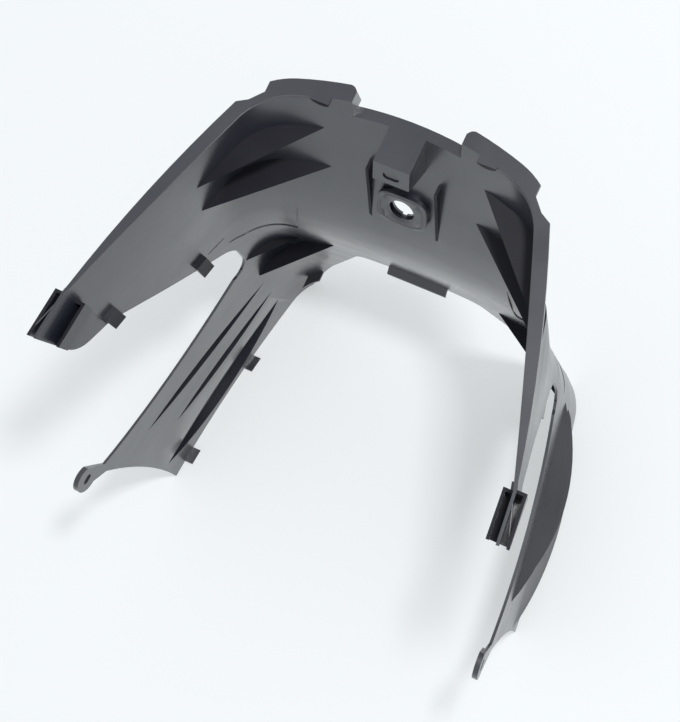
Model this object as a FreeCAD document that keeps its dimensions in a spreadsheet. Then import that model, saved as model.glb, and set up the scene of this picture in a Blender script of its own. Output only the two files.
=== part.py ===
# Leg shield: one moulded shell that wraps the steering column in a U.
# The front wall leans, the side walls splay, and each side ends in an upper and a lower arm.
# Millimetres. X across, Y towards the front wall, Z up, floor at Z = 0 under the lower arms.
import FreeCAD
import Part
import math
import os

V = FreeCAD.Vector
doc = FreeCAD.newDocument("LegShield")

# Driving sizes: name, value, what it is.
SIZES = [
    ("wall", 2.5, "moulded wall"),
    ("rim_height", 377.0, "top of the rim above the floor"),
    ("knee_height", 232.0, "height where the front wall starts to lean"),
    ("knee_bend", 40.0, "half height of the soft bend at the knee"),
    ("front_floor_y", 114.0, "front wall's face, carried down to the floor"),
    ("front_knee_y", 104.0, "front wall at the knee"),
    ("front_rim_y", 173.0, "front wall at the rim"),
    ("front_floor_radius", 2000.0, "plan radius of the front wall at the floor"),
    ("front_knee_radius", 600.0, "plan radius of the front wall at the knee"),
    ("front_rim_radius", 290.0, "plan radius of the front wall at the rim"),
    ("corner_low_radius", 50.0, "plan radius of the corner below the knee"),
    ("corner_rim_radius", 54.0, "plan radius of the corner at the rim"),
    ("waist_half", 148.0, "half width inside at the nose of the slot"),
    ("waist_y", 63.0, "nose of the slot"),
    ("splay_floor", 12.1, "angle of the lower arm at the floor"),
    ("splay_knee", 14.7, "angle of the side wall at the knee"),
    ("splay_rim", 20.3, "angle of the upper arm at the rim"),
    ("side_low_radius", 1500.0, "plan radius of the lower arm"),
    ("side_rim_radius", 4000.0, "plan radius of the upper arm"),
    ("upper_tip_y", -92.0, "end of the upper arm at the rim"),
    ("upper_tip_slant", 8.0, "lean of the upper arm's end"),
    ("upper_tip_turn", 12.0, "angle that the upper arm's end turns in at the sleeve"),
    ("upper_tip_depth", 60.0, "depth of the upper arm at its end"),
    ("upper_bend_y", -40.0, "bend in the lower edge of the upper arm"),
    ("upper_bend_depth", 87.0, "depth of that bend below the rim"),
    ("slot_top_y", 48.0, "where the slot's upper edge meets its nose"),
    ("slot_top_height", 212.0, "height of that point"),
    ("slot_nose_high", 188.0, "upper end of the slot's blunt nose"),
    ("slot_nose_low", 168.0, "lower end of the slot's blunt nose"),
    ("slot_low_y", 44.0, "where the slot's lower edge meets its nose"),
    ("slot_low_height", 152.0, "height of that point"),
    ("lower_sag_height", 139.0, "lowest height of the lower arm's top edge"),
    ("lower_tip_y", -150.0, "rear end of the lower arm's top edge"),
    ("lower_tip_height", 157.0, "height of that end"),
    ("lower_heel_y", -128.0, "rear end of the lower arm at the floor"),
    ("lower_rear_hollow", 7.0, "hollow of the lower arm's rear edge"),
    ("ear_radius", 13.0, "rounding of the eyelet ear"),
    ("ear_reach", 18.92, "eyelet centre behind the lower arm"),
    ("ear_rise", 20.0, "eyelet centre above the lower arm's corner"),
    ("ear_wall", 4.5, "thickness of the eyelet ear"),
    ("ear_hole_width", 6.0, "width of the eyelet hole"),
    ("ear_hole_length", 10.0, "length of the eyelet hole"),
    ("arch_height", 157.0, "lower edge of the front wall"),
    ("arch_top_half", 58.0, "half width of the arch at its top"),
    ("arch_foot_half", 135.0, "half width of the arch at the floor"),
    ("arch_round", 16.0, "rounding of the arch's upper corner"),
    ("flange_width", 13.5, "rim flange at the front, from the inner face outwards"),
    ("flange_side_width", 11.5, "rim flange behind the corner, from the inner face outwards"),
    ("flange_wall", 3.0, "thickness of the rim flange"),
    ("flange_end_y", -45.0, "where the rim flange runs out on the arm"),
    ("flange_bulge", 4.0, "bow of the flange's edge along the arm"),
    ("relief_start", 0.36, "share of the corner where the flange's relief starts"),
    ("relief_ramp", 0.1, "share of the corner that the relief's front end takes"),
    ("relief_end", 0.72, "share of the corner where that relief ends"),
    ("relief_back", 0.88, "share of the corner where the flange is wide again"),
    ("relief_width", 6.5, "flange left at the relief, from the inner face outwards"),
    ("notch_half", 46.0, "half width of the rim notch"),
    ("notch_depth", 14.0, "depth of the rim notch"),
    ("notch_flange", 9.0, "flange in the notch, from the inner face outwards"),
    ("notch_round", 6.0, "rounding of the flange's corner at the notch"),
    ("foot_tab_reach", 8.0, "reach of the tabs at the floor"),
    ("foot_tab_length", 15.0, "length of the tabs at the floor"),
    ("foot_tab_front_y", 0.0, "front floor tab"),
    ("foot_tab_rear_y", -104.0, "rear floor tab"),
    ("arch_tab_height", 27.0, "height of the tab on the arch's edge"),
    ("arch_tab_length", 12.0, "length of that tab"),
    ("gill_upper_front_x", 68.0, "front tip of the upper gill at the corner"),
    ("gill_upper_front_depth", 31.0, "depth of that tip below the rim"),
    ("gill_upper_rear_y", 69.0, "rear tip of the upper gill"),
    ("gill_upper_rear_depth", 38.0, "depth of that tip below the rim"),
    ("gill_lower_front_x", 63.0, "front tip of the lower gill at the corner"),
    ("gill_lower_front_depth", 71.0, "depth of that tip below the rim"),
    ("gill_lower_rear_y", 61.0, "rear tip of the lower gill"),
    ("gill_lower_rear_depth", 74.0, "depth of that tip below the rim"),
    ("gill_slope", 42.0, "angle under a gill's shelf, back to the corner"),
    ("flute_front_y", 62.0, "front tips of the flutes"),
    ("flute_upper_rear_y", -106.0, "rear tip of the upper flute"),
    ("flute_middle_rear_y", -84.0, "rear tip of the middle flute"),
    ("flute_lower_rear_y", -122.0, "rear tip of the lower flute"),
    ("flute_upper_front_height", 93.0, "front tip of the upper flute"),
    ("flute_upper_rear_height", 115.0, "rear tip of the upper flute"),
    ("flute_middle_front_height", 63.0, "front tip of the middle flute"),
    ("flute_middle_rear_height", 70.0, "rear tip of the middle flute"),
    ("flute_lower_front_height", 36.0, "front tip of the lower flute"),
    ("flute_lower_rear_height", 33.0, "rear tip of the lower flute"),
    ("flute_upper_drop", 11.0, "drop of the upper flute's lip"),
    ("flute_middle_drop", 11.0, "drop of the middle flute's lip"),
    ("flute_lower_drop", 28.0, "drop of the lower flute's lip"),
    ("flute_depth", 4.0, "depth of a flute at its lip"),
    ("flute_lip", 0.45, "share of a flute's length where its lip is lowest"),
    ("lens_front_x", 111.0, "front tip of the short gill below the slot"),
    ("lens_front_height", 163.0, "height of that tip"),
    ("lens_rear_height", 160.0, "rear tip of the short gill"),
    ("sweep_front_x", 78.0, "front tip of the long gill round the lower corner"),
    ("sweep_front_height", 168.0, "height of that tip"),
    ("sweep_rear_height", 112.0, "rear tip of the long gill"),
    ("bracket_half", 15.5, "half width of the mounting bracket"),
    ("bracket_reach", 30.0, "reach of the bracket from the front wall"),
    ("bracket_tab", 19.0, "height of the bracket's tab"),
    ("bracket_web", 34.0, "depth of the bracket's side webs on the wall"),
    ("slot_hole_length", 14.0, "length of the bracket's slot"),
    ("slot_hole_width", 7.0, "width of the bracket's slot"),
    ("slot_hole_drop", 10.5, "slot's centre below the bracket's top"),
    ("lock_depth", 89.0, "lock hole below the rim"),
    ("lock_bore", 21.0, "bore of the lock hole"),
    ("lock_key", 4.0, "width of the key notch in the lock hole"),
    ("boss_length", 43.0, "length of the boss round the lock hole"),
    ("boss_width", 33.0, "width of that boss"),
    ("boss_wall", 3.0, "wall of that boss"),
    ("boss_reach", 6.0, "reach of that boss from the wall"),
    ("rib_x", 31.0, "ribs beside the boss"),
    ("rib_top_depth", 52.0, "upper end of the ribs below the rim"),
    ("rib_low_depth", 121.0, "lower end of the ribs below the rim"),
    ("rib_reach", 9.0, "reach of the ribs at their upper end"),
    ("pad_x", 70.0, "half-round pads under the rim"),
    ("pad_radius", 8.0, "radius of those pads"),
    ("pad_reach", 4.0, "reach of those pads"),
    ("sill_half", 28.0, "half width of the tab under the front wall"),
    ("sill_reach", 8.0, "reach of that tab"),
    ("sleeve_length", 42.0, "length of the sleeve at the upper arm's end"),
    ("sleeve_outer_width", 5.5, "clear width of the sleeve outside the arm"),
    ("sleeve_inner_width", 6.0, "clear width of the sleeve inside the arm"),
    ("sleeve_outer_top", 3.0, "outer wall of the sleeve below the rim"),
    ("sleeve_inner_top", 19.0, "inner wall of the sleeve below the rim"),
    ("sleeve_depth", 32.0, "floor of the sleeve below the rim"),
    ("clip_front_y", 33.0, "front clip under the upper arm"),
    ("clip_rear_y", -44.0, "rear clip under the upper arm"),
    ("clip_length", 13.0, "length of a clip"),
    ("clip_wall", 4.0, "thickness of a clip"),
    ("clip_drop", 8.0, "reach of a clip below the arm's edge"),
    ("clip_root", 16.0, "height of a clip on the arm"),
]

sheet = doc.addObject("Spreadsheet::Sheet", "Sizes")
for row, (alias, value, note) in enumerate(SIZES, start=1):
    sheet.set("A%d" % row, note)
    sheet.set("B%d" % row, str(value))
    sheet.setAlias("B%d" % row, alias)
doc.recompute()


def size(alias):
    return float(sheet.get(alias))


WALL = size("wall")
RIM = size("rim_height")
KNEE = size("knee_height")
BEND = size("knee_bend")
REAR = size("lower_tip_y") - size("ear_reach") - 2.0 * size("ear_radius")
THROUGH = size("corner_low_radius")
FAR = 2.0 * (RIM + size("waist_half"))
MID = V(0, 0, 0)
ACROSS = V(1, 0, 0)
# Shares of the knee's bend where the wall has a section.
KNEE_STEPS = (-1.0, -1.0 / 3.0, 1.0 / 3.0, 1.0)
# Angles where the rear ear's round starts, passes and ends.
EAR_ROUND = (250.0, 150.0, 50.0)
# Share of the upper arm's end that its lower corner's round takes.
TIP_ROUND = 0.3


def level(height, floor_name, knee_name, rim_name):
    """Value of a size at a height, from its values at the floor, the knee and the rim, soft at the knee."""
    knee = size(knee_name)
    low = (knee - size(floor_name)) / KNEE
    high = (size(rim_name) - knee) / (RIM - KNEE)
    past = height - KNEE
    if past <= -BEND:
        return knee + low * past
    if past >= BEND:
        return knee + high * past
    return knee + low * past + (high - low) * (past + BEND) ** 2 / (4.0 * BEND)


def plan(height):
    """Plan of the inner face at a height: front, corner and side circles, each tangent to the next."""
    front_y = level(height, "front_floor_y", "front_knee_y", "front_rim_y")
    front_r = level(height, "front_floor_radius", "front_knee_radius", "front_rim_radius")
    corner_r = level(height, "corner_low_radius", "corner_low_radius", "corner_rim_radius")
    splay = level(height, "splay_floor", "splay_knee", "splay_rim")
    side_r = level(height, "side_low_radius", "side_low_radius", "side_rim_radius")
    turn = math.radians(splay)
    front = V(0, front_y - front_r, 0)
    side = V(size("waist_half") - side_r * math.cos(turn), size("waist_y") - side_r * math.sin(turn), 0)
    # The corner's centre lies inside both large circles by the corner's radius.
    line = side - front
    reach_front, reach_side, gap = front_r - corner_r, side_r - corner_r, line.Length
    along = (reach_front ** 2 - reach_side ** 2 + gap ** 2) / (2.0 * gap)
    away = math.sqrt(reach_front ** 2 - along ** 2)
    unit = line / gap
    normal = V(unit.y, -unit.x, 0)
    corner = front + unit * along + normal * away
    if corner.y < front.y:
        corner = front + unit * along - normal * away
    return {"front": front, "front_r": front_r, "corner": corner, "corner_r": corner_r,
            "side": side, "side_r": side_r}


def heading(centre, point):
    return math.atan2(point.y - centre.y, point.x - centre.x)


def arc(centre, radius, start, end, height):
    points = []
    for angle in (start, 0.5 * (start + end), end):
        points.append(V(centre.x + radius * math.cos(angle), centre.y + radius * math.sin(angle), height))
    return Part.Arc(*points).toShape()


def side_x(y, height, offset=0.0):
    """Half width of the side wall's inner face, moved outwards by an offset."""
    p = plan(height)
    return p["side"].x + math.sqrt((p["side_r"] + offset) ** 2 - (y - p["side"].y) ** 2)


def front_y(x, height, offset=0.0):
    """Place of the front wall's inner face, moved outwards by an offset."""
    p = plan(height)
    return p["front"].y + math.sqrt((p["front_r"] + offset) ** 2 - x ** 2)


def plan_y(x, height):
    """Place of the inner face ahead of a half width, on the front wall or round the corner."""
    p = plan(height)
    join = p["front"].x + p["front_r"] * math.cos(heading(p["front"], p["corner"]))
    if x <= join:
        return front_y(x, height)
    return p["corner"].y + math.sqrt(p["corner_r"] ** 2 - (x - p["corner"].x) ** 2)


def outline(height, offset):
    """Closed plan of one half of the shield's inside, moved outwards by an offset."""
    p = plan(height)
    join_front = heading(p["front"], p["corner"])
    join_side = heading(p["side"], p["corner"])
    end = V(side_x(REAR, height, offset), REAR, height)
    front_arc = arc(p["front"], p["front_r"] + offset, 0.5 * math.pi, join_front, height)
    corner_arc = arc(p["corner"], p["corner_r"] + offset, join_front, join_side, height)
    side_arc = arc(p["side"], p["side_r"] + offset, join_side, heading(p["side"], end), height)
    rear_line = Part.makeLine(end, V(0, REAR, height))
    centre_line = Part.makeLine(V(0, REAR, height), V(0, front_y(0, height, offset), height))
    return Part.Wire([front_arc, corner_arc, side_arc, rear_line, centre_line])


def form(offset):
    """Solid inside of the shield, moved outwards by an offset: upright to the knee, then leaning."""
    levels = [0.0] + [KNEE + share * BEND for share in KNEE_STEPS] + [RIM]
    return Part.makeLoft([outline(z, offset) for z in levels], True, True)


def prism(points, direction):
    return Part.Face(Part.makePolygon(points + points[:1])).extrude(direction)


def inside_point(y, height):
    return V(side_x(y, height), y, height)


class Flute:
    """A recess whose wall swings out about the chord between its tips and ends in a ledge at its lip."""

    def __init__(self, tip_front, tip_rear, lip, push):
        self.chord = tip_rear - tip_front
        self.out = V(-self.chord.y, self.chord.x, 0)
        self.out.normalize()
        self.front, self.rear, self.lip = tip_front, tip_rear, lip
        self.push = push

    def swing(self, solid):
        moved = solid.copy()
        moved.rotate(self.front, self.chord, self.push)
        return moved

    def block(self, extra):
        """Outline of the recess, widened by an extra, carried through the wall."""
        along = V(self.chord)
        along.normalize()
        front = self.front - along * 2.0 * extra
        rear = self.rear + along * 2.0 * extra
        lip = self.lip - V(0, 0, extra)
        head = V(0, 0, WALL)
        edges = [Part.Arc(front, lip, rear).toShape(), Part.makeLine(rear, rear + head),
                 Part.makeLine(rear + head, front + head), Part.makeLine(front + head, front)]
        face = Part.Face(Part.Wire(edges))
        face.translate(self.out * -THROUGH)
        return face.extrude(self.out * 2.0 * THROUGH)


class Gill:
    """A shelf across a corner: its lip is the chord between two tips, and its underside slopes back out."""

    def __init__(self, tip_front, tip_rear):
        self.front = tip_front
        self.chord = tip_rear - tip_front
        self.out = V(-self.chord.y, self.chord.x, 0)
        self.out.normalize()
        self.up = self.out.cross(self.chord)
        if self.up.z < 0:
            self.up = -self.up
        self.up.normalize()

    def wedge(self, offset):
        """What the gill takes from the inside of the shield, moved outwards by an offset."""
        slope = math.radians(size("gill_slope"))
        near = offset * (1.0 + 1.0 / math.cos(slope)) / math.tan(slope)
        low = offset / math.cos(slope) - THROUGH * math.tan(slope)
        corners = [(near, -offset), (THROUGH, -offset), (THROUGH, low)]
        points = [self.front - self.chord + self.out * away + self.up * rise for away, rise in corners]
        return prism(points, self.chord * 3.0)


def show(name, shape):
    item = doc.addObject("Part::Feature", name)
    item.Shape = shape
    return item


outer_form = form(WALL)
inner_form = form(0.0)

# Two gills cross each front corner, and two more turn the corner between the slot and the arch.
gills = []
for which in ("upper", "lower"):
    front_height = RIM - size("gill_%s_front_depth" % which)
    rear_height = RIM - size("gill_%s_rear_depth" % which)
    tip_x = size("gill_%s_front_x" % which)
    front_tip = V(tip_x, front_y(tip_x, front_height), front_height)
    gills.append(Gill(front_tip, inside_point(size("gill_%s_rear_y" % which), rear_height)))
for which in ("lens", "sweep"):
    tip_x, tip_height = size("%s_front_x" % which), size("%s_front_height" % which)
    front_tip = V(tip_x, plan_y(tip_x, tip_height), tip_height)
    gills.append(Gill(front_tip, inside_point(size("waist_y"), size("%s_rear_height" % which))))

# Three flutes run along each lower arm.
flutes = []
for which in ("upper", "middle", "lower"):
    front_tip = inside_point(size("flute_front_y"), size("flute_%s_front_height" % which))
    rear_tip = inside_point(size("flute_%s_rear_y" % which), size("flute_%s_rear_height" % which))
    drop = size("flute_%s_drop" % which)
    lip = front_tip + (rear_tip - front_tip) * size("flute_lip") - V(0, 0, drop)
    push = math.degrees(math.atan2(size("flute_depth"), drop))
    flutes.append(Flute(front_tip, rear_tip, lip, push))

# The end of the upper arm turns in at its sleeve.
sleeve_y = size("upper_tip_y") + size("sleeve_length")
tip_zone = Part.makeBox(FAR, FAR, FAR, V(0, sleeve_y - FAR, KNEE))


def turned(offset):
    """Inside of the shield behind the sleeve's front, turned in and moved outwards by an offset."""
    solid = form(offset)
    solid.rotate(inside_point(sleeve_y, RIM), V(0, 0, 1), -size("upper_tip_turn"))
    return solid.common(tip_zone)


def body(solid, offset):
    """Inside of the shield with its flutes, gills and turned tip, moved outwards by an offset."""
    swung = [f.swing(solid).common(f.block(offset)) for f in flutes]
    whole = solid.cut(tip_zone).fuse(swung + [turned(offset)])
    return whole.cut([g.wedge(offset) for g in gills])


shell = show("Shell", body(outer_form, WALL).cut(body(inner_form, 0.0)))

# Side view of what is kept: the upper arm, the slot, the lower arm with its eyelet ear.
ear_y = size("lower_tip_y") - size("ear_reach")
ear_z = size("lower_tip_height") + size("ear_rise")


def at(y, z):
    return V(0, y, z)


def round_ear(angle):
    turn = math.radians(angle)
    return at(ear_y + size("ear_radius") * math.cos(turn), ear_z + size("ear_radius") * math.sin(turn))


ear_points = [round_ear(angle) for angle in EAR_ROUND]
heel = at(size("lower_heel_y"), 0)
rear_top = at(size("lower_tip_y") - 2.0 * WALL, size("lower_tip_height") - 4.0 * WALL)
rear_mid = (heel + rear_top) * 0.5 + V(0, size("lower_rear_hollow"), 0)
lower_rear = at(size("lower_tip_y"), size("lower_tip_height"))
slot_low = at(size("slot_low_y"), size("slot_low_height"))
lower_mid = at(0.5 * (lower_rear.y + slot_low.y), size("lower_sag_height"))
nose_low = at(size("waist_y"), size("slot_nose_low"))
nose_high = at(size("waist_y"), size("slot_nose_high"))
slot_top = at(size("slot_top_y"), size("slot_top_height"))
bend = at(size("upper_bend_y"), RIM - size("upper_bend_depth"))
slope = (slot_top.z - bend.z) / (slot_top.y - bend.y)
nose_low_mid = at(nose_low.y, slot_low.z) * 0.5 + (nose_low + slot_low) * 0.25
nose_high_corner = at(nose_high.y, slot_top.z + slope * (nose_high.y - slot_top.y))
nose_high_mid = nose_high_corner * 0.5 + (nose_high + slot_top) * 0.25
tip_top = at(size("upper_tip_y"), RIM)
tip = tip_top + V(0, size("upper_tip_slant"), -size("upper_tip_depth"))
tip_start = tip + (bend - tip) * TIP_ROUND
tip_end = tip + (tip_top - tip) * TIP_ROUND
tip_mid = (tip_start + tip_end) * 0.25 + tip * 0.5
edges = [
    Part.makeLine(at(FAR, -WALL), at(heel.y, -WALL)),
    Part.makeLine(at(heel.y, -WALL), heel),
    Part.Arc(heel, rear_mid, rear_top).toShape(),
    Part.makeLine(rear_top, ear_points[0]),
    Part.Arc(*ear_points).toShape(),
    Part.makeLine(ear_points[-1], lower_rear),
    Part.Arc(lower_rear, lower_mid, slot_low).toShape(),
    Part.Arc(slot_low, nose_low_mid, nose_low).toShape(),
    Part.makeLine(nose_low, nose_high),
    Part.Arc(nose_high, nose_high_mid, slot_top).toShape(),
    Part.makeLine(slot_top, bend),
    Part.makeLine(bend, tip_start),
    Part.Arc(tip_start, tip_mid, tip_end).toShape(),
    Part.makeLine(tip_end, tip_top),
    Part.makeLine(tip_top, at(tip_top.y, FAR)),
    Part.makeLine(at(tip_top.y, FAR), at(FAR, FAR)),
    Part.makeLine(at(FAR, FAR), at(FAR, -WALL)),
]
side_view = Part.Face(Part.Wire(edges)).extrude(V(FAR, 0, 0))

# The arch under the front wall, open to the floor between the lower arms.
arch_top = V(size("arch_top_half"), 0, size("arch_height"))
arch_foot = V(size("arch_foot_half"), 0, 0)
rise = arch_top - arch_foot
rise.normalize()
half_turn = 0.5 * math.acos(-rise.x)
setback = size("arch_round") * math.tan(half_turn)
inward = V(-1, 0, 0) - rise
inward.normalize()
arch_mid = arch_top + inward * (size("arch_round") / math.cos(half_turn) - size("arch_round"))
round_start = arch_top - rise * setback
round_end = arch_top - V(setback, 0, 0)
arch_low = arch_foot - rise * (2.0 * WALL)
edges = [
    Part.makeLine(V(0, 0, arch_low.z), arch_low),
    Part.makeLine(arch_low, round_start),
    Part.Arc(round_start, arch_mid, round_end).toShape(),
    Part.makeLine(round_end, V(0, 0, size("arch_height"))),
    Part.makeLine(V(0, 0, size("arch_height")), V(0, 0, arch_low.z)),
]
arch = Part.Face(Part.Wire(edges)).extrude(V(0, FAR, 0))


def plate(height, thick, reach):
    """Level plate under a height that reaches outwards from the inner face."""
    return Part.Face(outline(height, reach)).extrude(V(0, 0, -thick))


# Rim flange: as wide as set round the front, narrow at the corner, running out along the upper arm.
p = plan(RIM)
join_front = heading(p["front"], p["corner"])
join_side = heading(p["side"], p["corner"])
reach = size("flange_width")


def on_corner(share, offset):
    """Point of the rim's corner at a share of its turn, moved outwards by an offset."""
    turn = join_front + share * (join_side - join_front)
    radius = p["corner_r"] + offset
    return V(p["corner"].x + radius * math.cos(turn), p["corner"].y + radius * math.sin(turn), RIM)


corner_start = on_corner(size("relief_start"), reach)
relief_front = on_corner(size("relief_start") + size("relief_ramp"), size("relief_width"))
relief_rear = on_corner(size("relief_end"), size("relief_width"))
corner_end = on_corner(size("relief_back"), size("flange_side_width"))
run_out = V(side_x(size("flange_end_y"), RIM, WALL), size("flange_end_y"), RIM)
bow = V(-(run_out - corner_end).y, (run_out - corner_end).x, 0)
bow.normalize()
bow_mid = (corner_end + run_out) * 0.5 + bow * size("flange_bulge")
edges = [
    arc(p["front"], p["front_r"] + reach, 0.5 * math.pi, join_front, RIM),
    Part.Arc(on_corner(0.0, reach), on_corner(0.5 * size("relief_start"), reach), corner_start).toShape(),
    Part.makeLine(corner_start, relief_front),
    Part.makeLine(relief_front, relief_rear),
    Part.makeLine(relief_rear, corner_end),
    Part.Arc(corner_end, bow_mid, run_out).toShape(),
    Part.makeLine(run_out, V(0, run_out.y, RIM)),
    Part.makeLine(V(0, run_out.y, RIM), V(0, front_y(0, RIM, reach), RIM)),
]
flange_area = Part.Face(Part.Wire(edges))
flange = flange_area.extrude(V(0, 0, -size("flange_wall")))

# Notch in the rim, with its own flange and upright ends.
notch_z = RIM - size("notch_depth")
notch_cut = Part.makeBox(size("notch_half"), FAR, FAR, V(0, size("waist_y"), notch_z))
flange = flange.cut(notch_cut)
notch_corner = V(size("notch_half"), front_y(size("notch_half"), RIM, reach), RIM)
corner_edges = []
for edge in flange.Edges:
    if len(edge.Vertexes) == 2 and abs(edge.tangentAt(edge.FirstParameter).z) > 0.5:
        if edge.BoundBox.Center.distanceToPoint(notch_corner) < reach:
            corner_edges.append(edge)
flange = flange.makeFillet(size("notch_round"), corner_edges)
notch_flange = plate(notch_z, size("flange_wall"), size("notch_flange"))
notch_flange = notch_flange.common(Part.makeBox(size("notch_half") + WALL, FAR, FAR, MID))
notch_end = plate(RIM, size("notch_depth") + size("flange_wall"), size("notch_flange"))
notch_end = notch_end.common(Part.makeBox(WALL, FAR, FAR, V(size("notch_half"), size("waist_y"), 0)))

# Inward tabs at the floor.
foot = Part.Face(outline(0, WALL)).extrude(V(0, 0, WALL))
foot = foot.cut(Part.Face(outline(0, -size("foot_tab_reach"))).extrude(V(0, 0, WALL)))
foot_parts = []
for place in ("foot_tab_front_y", "foot_tab_rear_y"):
    strip_start = size(place) - 0.5 * size("foot_tab_length")
    strip = Part.makeBox(FAR, size("foot_tab_length"), WALL, V(0, strip_start, 0))
    foot_parts.append(foot.common(strip))

# A level tab on the arch's edge, low at the corner.
arch_tab_z = size("arch_tab_height")
arch_tab = Part.Face(outline(arch_tab_z, WALL)).extrude(V(0, 0, WALL))
arch_tab = arch_tab.cut(Part.Face(outline(arch_tab_z, -size("foot_tab_reach"))).extrude(V(0, 0, WALL)))
arch_tab_x = arch_foot.x + (arch_top.x - arch_foot.x) * arch_tab_z / arch_top.z
strip = Part.makeBox(size("arch_tab_length"), FAR, FAR, V(arch_tab_x, size("waist_y"), 0))
foot_parts.append(arch_tab.common(strip))


def lean_frame(y, height, lift=0.0):
    """Placement on the side wall's inner face: x rearwards along the wall, y inwards, z up."""
    back = V(side_x(y - 1.0, height) - side_x(y, height), -1.0, 0)
    turn = FreeCAD.Rotation(ACROSS, back)
    return FreeCAD.Placement(inside_point(y, height) + V(0, 0, lift), turn)


def block(length, depth, tall, start, frame):
    box = Part.makeBox(length, depth, tall, start)
    box.Placement = frame.multiply(box.Placement)
    return box


# Sleeve at the end of the upper arm: a trough on each face of the wall, open above and behind.
sleeve_z = RIM - size("sleeve_depth")
sleeve_corner = V(0, size("upper_tip_y"), sleeve_z)
sleeve_box = Part.makeBox(FAR, size("sleeve_length"), size("sleeve_depth"), sleeve_corner)


def trough(inner, outer, top):
    """Floor, end and far wall of a trough between two offsets of the inner face."""
    low, high = min(inner, outer), max(inner, outer)
    whole = turned(high).cut(turned(low)).common(sleeve_box)
    hollow_box = Part.makeBox(FAR, size("sleeve_length"), FAR, sleeve_corner + V(0, -WALL, WALL))
    near, far = (inner, outer - WALL) if outer > inner else (inner, outer + WALL)
    hollow = turned(max(near, far)).cut(turned(min(near, far))).common(hollow_box)
    above = Part.makeBox(FAR, FAR, FAR, V(0, -FAR + sleeve_y + WALL, RIM - top))
    return whole.cut(hollow).cut(above)


sleeve = [trough(WALL, 2.0 * WALL + size("sleeve_outer_width"), size("sleeve_outer_top")),
          trough(0.0, -WALL - size("sleeve_inner_width"), size("sleeve_inner_top"))]

# Clips that hang from the lower edge of the upper arm.
clips = []
for place in ("clip_front_y", "clip_rear_y"):
    y = size(place)
    share = (slot_top.y - y) / (slot_top.y - bend.y)
    edge_z = slot_top.z + share * (bend.z - slot_top.z)
    frame = lean_frame(y, edge_z)
    tall = size("clip_drop") + size("clip_root")
    clip = block(size("clip_length"), size("clip_wall") + WALL, tall,
                 V(-0.5 * size("clip_length"), -size("clip_wall"), -size("clip_drop")), frame)
    clips.append(clip.common(outer_form))

# Thicker wall at the eyelet ear.
ear_pad = form(WALL).cut(form(WALL - size("ear_wall")))
ear_round = Part.makeCylinder(size("ear_radius"), FAR, at(ear_y, ear_z), ACROSS)
ear_pad = ear_pad.common(ear_round)
ear_hole = Part.makeBox(FAR, size("ear_hole_length") - size("ear_hole_width"), size("ear_hole_width"),
                        at(ear_y - 0.5 * (size("ear_hole_length") - size("ear_hole_width")),
                           ear_z - 0.5 * size("ear_hole_width")))
for step in (-0.5, 0.5):
    centre = at(ear_y + step * (size("ear_hole_length") - size("ear_hole_width")), ear_z)
    ear_hole = ear_hole.fuse(Part.makeCylinder(0.5 * size("ear_hole_width"), FAR, centre, ACROSS))

# Half-round pad under the rim and tapered rib beside the boss, one of each on this side.
pad_y = front_y(size("pad_x"), RIM)
pad = Part.makeCylinder(size("pad_radius"), size("pad_reach") + 3.0 * WALL,
                        V(size("pad_x"), pad_y - size("pad_reach"), RIM), V(0, 1, 0))
pad = pad.common(outer_form)
rib_top = RIM - size("rib_top_depth")
rib_low = RIM - size("rib_low_depth")
rib_face = [V(size("rib_x"), front_y(size("rib_x"), rib_low) + 0.5 * WALL, rib_low),
            V(size("rib_x"), front_y(size("rib_x"), rib_top) + 0.5 * WALL, rib_top),
            V(size("rib_x"), front_y(size("rib_x"), rib_top) - size("rib_reach"), rib_top)]
rib = prism(rib_face, V(-WALL, 0, 0))

half = shell.Shape.fuse([flange.cut(inner_form)])
half = half.cut(notch_cut)
half = half.fuse([notch_flange.cut(inner_form), notch_end.cut(inner_form), ear_pad] + sleeve + foot_parts)
half = half.common(side_view).cut(arch).cut(ear_hole)
half = half.fuse(clips + [pad, rib])
right_half = show("RightHalf", half)

left_half = doc.addObject("Part::Mirroring", "LeftHalf")
left_half.Source = right_half
left_half.Base = MID
left_half.Normal = ACROSS

# Mounting bracket behind the notch: a level top, two side webs and a slotted tab.
LEAN = math.degrees(math.atan2(size("front_rim_y") - size("front_knee_y"), RIM - KNEE))
wall_y = front_y(0, notch_z)
root_y = wall_y - size("bracket_reach")
top = doc.addObject("Part::Box", "BracketTop")
top.setExpression("Length", "2 * Sizes.bracket_half")
top.setExpression("Width", "Sizes.bracket_reach + Sizes.wall / 2")
top.setExpression("Height", "Sizes.wall")
top.Placement = FreeCAD.Placement(V(-size("bracket_half"), root_y, notch_z - WALL), FreeCAD.Rotation())
tab = doc.addObject("Part::Box", "BracketTab")
tab.setExpression("Length", "2 * Sizes.bracket_half")
tab.setExpression("Width", "Sizes.wall")
tab.setExpression("Height", "Sizes.bracket_tab")
lean_turn = FreeCAD.Rotation(ACROSS, -LEAN)
tab_foot = V(-size("bracket_half"), root_y, notch_z) + lean_turn.multVec(V(0, 0, -size("bracket_tab")))
tab.Placement = FreeCAD.Placement(tab_foot, lean_turn)
web_low = notch_z - size("bracket_web")
tab_low = V(0, root_y, notch_z) + lean_turn.multVec(V(0, 0, -size("bracket_tab")))
web_face = [V(0, root_y, notch_z), V(0, wall_y + 0.5 * WALL, notch_z),
            V(0, front_y(0, web_low) + 0.5 * WALL, web_low), tab_low]
right_face = [c + V(size("bracket_half") - WALL, 0, 0) for c in web_face]
left_face = [c - V(size("bracket_half"), 0, 0) for c in web_face]
web_right = show("BracketWebRight", prism(right_face, V(WALL, 0, 0)))
web_left = show("BracketWebLeft", prism(left_face, V(WALL, 0, 0)))
slot_mid = V(0, root_y, notch_z) + lean_turn.multVec(V(0, 0, -size("slot_hole_drop")))


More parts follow.
